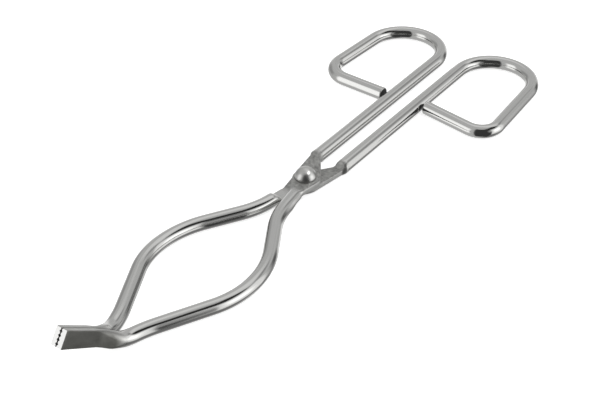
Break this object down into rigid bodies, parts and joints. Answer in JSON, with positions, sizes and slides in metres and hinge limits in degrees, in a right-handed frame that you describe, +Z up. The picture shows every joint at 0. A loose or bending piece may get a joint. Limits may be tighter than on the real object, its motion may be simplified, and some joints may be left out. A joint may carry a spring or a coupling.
{
  "type": "crucible tongs",
  "caption": "Crossed-arm steel tongs with finger loops, wide bows and upturned grooved jaw blades, hinged on one domed rivet.",
  "frame": {"origin": "centre of the rivet's flat closing head, on the bench plane under the joint", "axes": "+X from the joint towards the finger loops, +Z up from the bench, the way the jaw blades bend; the closed jaws meet on the XZ plane"},
  "size_m": [0.2499, 0.0846, 0.0221],
  "materials": {
    "plated_steel": "bright nickel-plated rod, satin on the forged blades",
    "rivet_steel": "polished domed head"
  },
  "bodies": {
    "lower_half": {"lower_arm": "plated_steel", "pivot_rivet": "rivet_steel"},
    "upper_half": {"upper_arm": "plated_steel"}
  },
  "joints": [
    {"name": "arm_pivot", "type": "hinge", "parent": "lower_half", "child": "upper_half", "pos_m": [0, 0, 0.00275], "axis": [0, 0, 1], "range_deg": [0, 120]}
  ]
}
